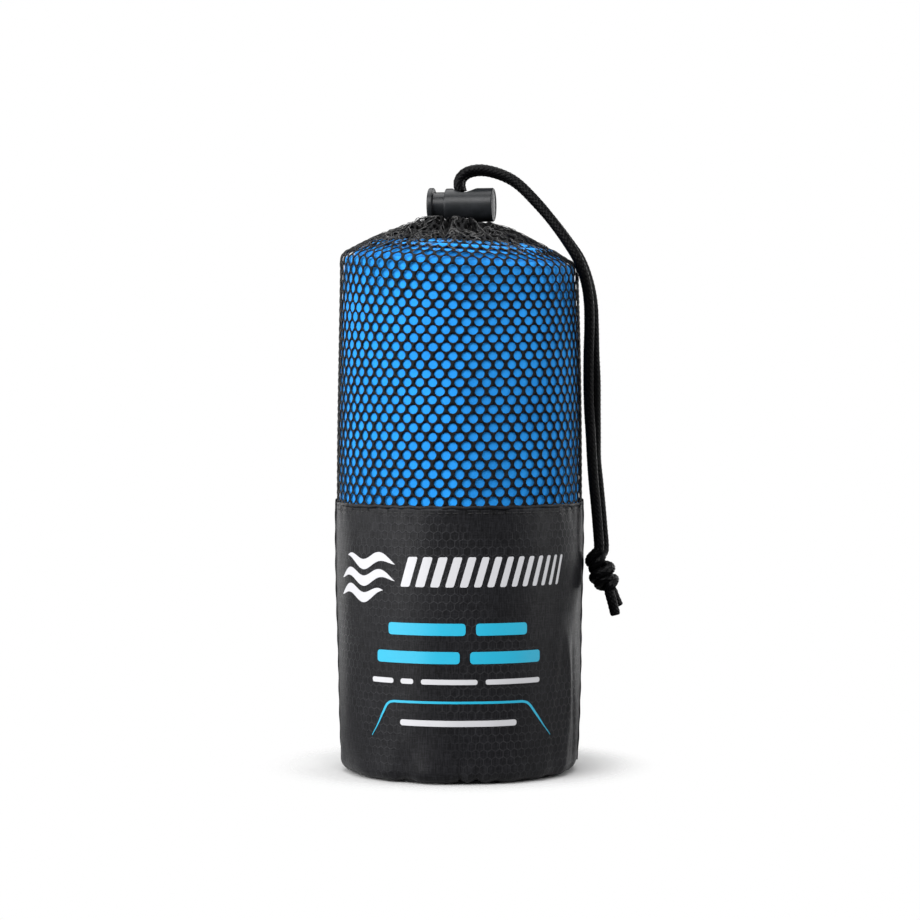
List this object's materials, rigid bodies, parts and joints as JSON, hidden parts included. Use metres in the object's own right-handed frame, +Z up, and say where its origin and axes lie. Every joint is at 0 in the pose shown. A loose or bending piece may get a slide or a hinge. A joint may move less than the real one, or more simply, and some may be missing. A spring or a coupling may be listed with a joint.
{
  "type": "quick dry towel in drawstring pouch",
  "caption": "Microfibre towel rolled upright in a pouch with a nylon base sleeve, a net top gathered to a neck, and a drawcord with a spring toggle and a knotted end.",
  "frame": {"origin": "centre of the pouch's base, on the surface that it stands on", "axes": "+Z up along the roll, -Y towards the printed front, +X towards the side that the free cord hangs on"},
  "size_m": [0.1033, 0.0882, 0.2175],
  "materials": {
    "towel_cloth": "matte",
    "nylon": "satin",
    "net": "matte",
    "thread": "matte",
    "cord": "matte",
    "toggle_plastic": "satin",
    "spring_steel": "satin"
  },
  "bodies": {
    "pouch": {"towel_roll": "towel_cloth", "nylon_sleeve": "nylon", "base_panel": "nylon", "base_seam": "thread", "body_seam": "thread", "nylon_seam_left": "nylon", "nylon_seam_right": "nylon", "net_sleeve": "net", "net_seam_left": "net", "net_seam_right": "net", "net_crown": "net", "neck_hem": "net", "drawcord_loop": "cord"},
    "toggle": {"toggle_barrel": "toggle_plastic", "toggle_spring": "spring_steel", "drawcord_strand_a": "cord", "drawcord_strand_b": "cord", "drawcord_knot": "cord", "drawcord_tail_a": "cord", "drawcord_tail_b": "cord"},
    "plunger": {"toggle_plunger": "toggle_plastic"}
  },
  "joints": [
    {"name": "toggle_slide", "type": "slide", "parent": "pouch", "child": "toggle", "axis": [0, 0, 1], "range_m": [0, 0.009]},
    {"name": "plunger_press", "type": "slide", "parent": "toggle", "child": "plunger", "axis": [0.9848, -0.1736, 0], "range_m": [0, 0.003], "stiffness_N_per_m": 500, "springref_m": -0.004, "deforming": ["toggle_spring"]}
  ]
}
